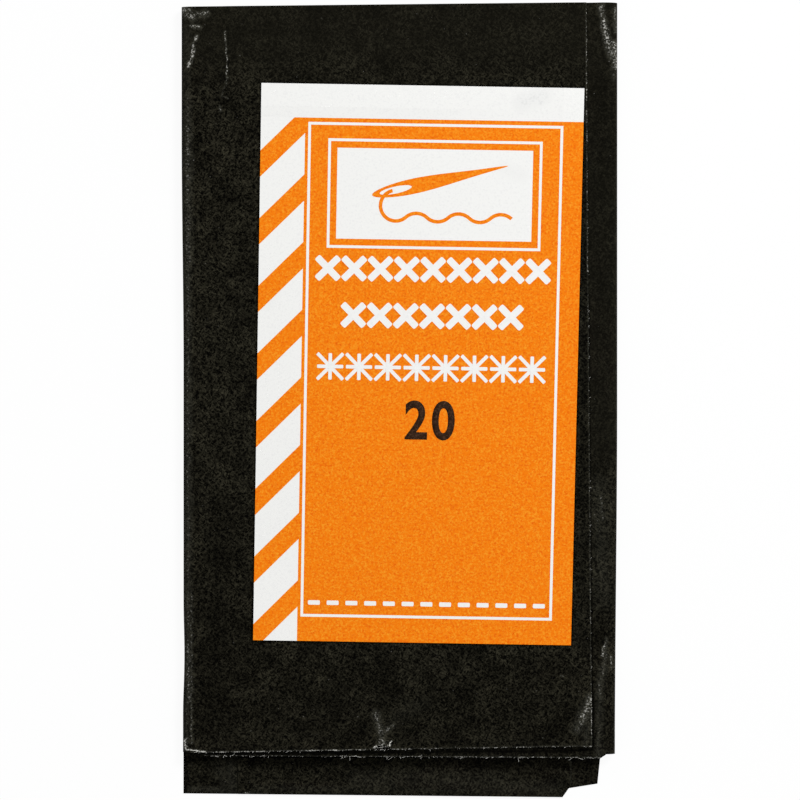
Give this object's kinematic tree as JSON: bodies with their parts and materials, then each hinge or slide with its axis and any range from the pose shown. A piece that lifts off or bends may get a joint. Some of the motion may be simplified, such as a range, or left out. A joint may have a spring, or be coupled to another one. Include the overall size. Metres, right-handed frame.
{
  "type": "needle packet",
  "caption": "Flat black paper packet with a glued printed label, a front flap and a hem that fold open, and blunt yarn needles that slide out at the foot.",
  "frame": {"origin": "middle of the packet's footprint, on the surface that its back lies on", "axes": "+X across the packet to the reader's right, +Y up the packet from the mouth at its foot to its top, +Z out of its printed face"},
  "size_m": [0.041, 0.0754, 0.0019],
  "materials": {
    "black_paper": "matt black tissue-backed paper with light scuffs",
    "label_paper": "uncoated white paper printed orange and black",
    "needle_steel": "bright nickel-plated steel"
  },
  "bodies": {
    "wrapper": {"back_panel": "black_paper", "right_fold": "black_paper", "top_fold": "black_paper", "top_flap": "black_paper", "inner_flap": "black_paper", "left_fold": "black_paper"},
    "front_cover": {"front_flap": "black_paper", "label": "label_paper"},
    "hem": {"bottom_flap": "black_paper"},
    "needle_01": {"needle_01": "needle_steel"},
    "needle_02": {"needle_02": "needle_steel"},
    "needle_03": {"needle_03": "needle_steel"},
    "needle_04": {"needle_04": "needle_steel"},
    "needle_05": {"needle_05": "needle_steel"},
    "needle_06": {"needle_06": "needle_steel"},
    "needle_07": {"needle_07": "needle_steel"},
    "needle_08": {"needle_08": "needle_steel"},
    "needle_09": {"needle_09": "needle_steel"},
    "needle_10": {"needle_10": "needle_steel"},
    "needle_11": {"needle_11": "needle_steel"},
    "needle_12": {"needle_12": "needle_steel"},
    "needle_13": {"needle_13": "needle_steel"},
    "needle_14": {"needle_14": "needle_steel"},
    "needle_15": {"needle_15": "needle_steel"},
    "needle_16": {"needle_16": "needle_steel"},
    "needle_17": {"needle_17": "needle_steel"},
    "needle_18": {"needle_18": "needle_steel"},
    "needle_19": {"needle_19": "needle_steel"},
    "needle_20": {"needle_20": "needle_steel"},
    "needle_21": {"needle_21": "needle_steel"},
    "needle_22": {"needle_22": "needle_steel"},
    "needle_23": {"needle_23": "needle_steel"},
    "needle_24": {"needle_24": "needle_steel"},
    "needle_25": {"needle_25": "needle_steel"}
  },
  "joints": [
    {"name": "front_flap_fold", "type": "hinge", "parent": "wrapper", "child": "front_cover", "pos_m": [-0.02055, 0, 0.00097], "axis": [0, -1, 0], "range_deg": [0, 179], "deforming": ["left_fold"]},
    {"name": "bottom_flap_fold", "type": "hinge", "parent": "wrapper", "child": "hem", "pos_m": [0, -0.03752, 0.00012], "axis": [1, -0.0097, 0], "range_deg": [0, 180]},
    {"name": "needle_01_slide", "type": "slide", "parent": "wrapper", "child": "needle_01", "axis": [0, -1, 0], "range_m": [-0.02, 0.055]},
    {"name": "needle_02_slide", "type": "slide", "parent": "wrapper", "child": "needle_02", "axis": [0, -1, 0], "range_m": [-0.02, 0.055]},
    {"name": "needle_03_slide", "type": "slide", "parent": "wrapper", "child": "needle_03", "axis": [0, -1, 0], "range_m": [-0.02, 0.055]},
    {"name": "needle_04_slide", "type": "slide", "parent": "wrapper", "child": "needle_04", "axis": [0, -1, 0], "range_m": [-0.02, 0.055]},
    {"name": "needle_05_slide", "type": "slide", "parent": "wrapper", "child": "needle_05", "axis": [0, -1, 0], "range_m": [-0.02, 0.055]},
    {"name": "needle_06_slide", "type": "slide", "parent": "wrapper", "child": "needle_06", "axis": [0, -1, 0], "range_m": [-0.02, 0.055]},
    {"name": "needle_07_slide", "type": "slide", "parent": "wrapper", "child": "needle_07", "axis": [0, -1, 0], "range_m": [-0.02, 0.055]},
    {"name": "needle_08_slide", "type": "slide", "parent": "wrapper", "child": "needle_08", "axis": [0, -1, 0], "range_m": [-0.02, 0.055]},
    {"name": "needle_09_slide", "type": "slide", "parent": "wrapper", "child": "needle_09", "axis": [0, -1, 0], "range_m": [-0.02, 0.055]},
    {"name": "needle_10_slide", "type": "slide", "parent": "wrapper", "child": "needle_10", "axis": [0, -1, 0], "range_m": [-0.02, 0.055]},
    {"name": "needle_11_slide", "type": "slide", "parent": "wrapper", "child": "needle_11", "axis": [0, -1, 0], "range_m": [-0.02, 0.055]},
    {"name": "needle_12_slide", "type": "slide", "parent": "wrapper", "child": "needle_12", "axis": [0, -1, 0], "range_m": [-0.02, 0.055]},
    {"name": "needle_13_slide", "type": "slide", "parent": "wrapper", "child": "needle_13", "axis": [0, -1, 0], "range_m": [-0.02, 0.055]},
    {"name": "needle_14_slide", "type": "slide", "parent": "wrapper", "child": "needle_14", "axis": [0, -1, 0], "range_m": [-0.02, 0.055]},
    {"name": "needle_15_slide", "type": "slide", "parent": "wrapper", "child": "needle_15", "axis": [0, -1, 0], "range_m": [-0.02, 0.055]},
    {"name": "needle_16_slide", "type": "slide", "parent": "wrapper", "child": "needle_16", "axis": [0, -1, 0], "range_m": [-0.02, 0.055]},
    {"name": "needle_17_slide", "type": "slide", "parent": "wrapper", "child": "needle_17", "axis": [0, -1, 0], "range_m": [-0.02, 0.055]},
    {"name": "needle_18_slide", "type": "slide", "parent": "wrapper", "child": "needle_18", "axis": [0, -1, 0], "range_m": [-0.02, 0.055]},
    {"name": "needle_19_slide", "type": "slide", "parent": "wrapper", "child": "needle_19", "axis": [0, -1, 0], "range_m": [-0.02, 0.055]},
    {"name": "needle_20_slide", "type": "slide", "parent": "wrapper", "child": "needle_20", "axis": [0, -1, 0], "range_m": [-0.02, 0.055]},
    {"name": "needle_21_slide", "type": "slide", "parent": "wrapper", "child": "needle_21", "axis": [0, -1, 0], "range_m": [-0.02, 0.055]},
    {"name": "needle_22_slide", "type": "slide", "parent": "wrapper", "child": "needle_22", "axis": [0, -1, 0], "range_m": [-0.02, 0.055]},
    {"name": "needle_23_slide", "type": "slide", "parent": "wrapper", "child": "needle_23", "axis": [0, -1, 0], "range_m": [-0.02, 0.055]},
    {"name": "needle_24_slide", "type": "slide", "parent": "wrapper", "child": "needle_24", "axis": [0, -1, 0], "range_m": [-0.02, 0.055]},
    {"name": "needle_25_slide", "type": "slide", "parent": "wrapper", "child": "needle_25", "axis": [0, -1, 0], "range_m": [-0.02, 0.055]}
  ]
}
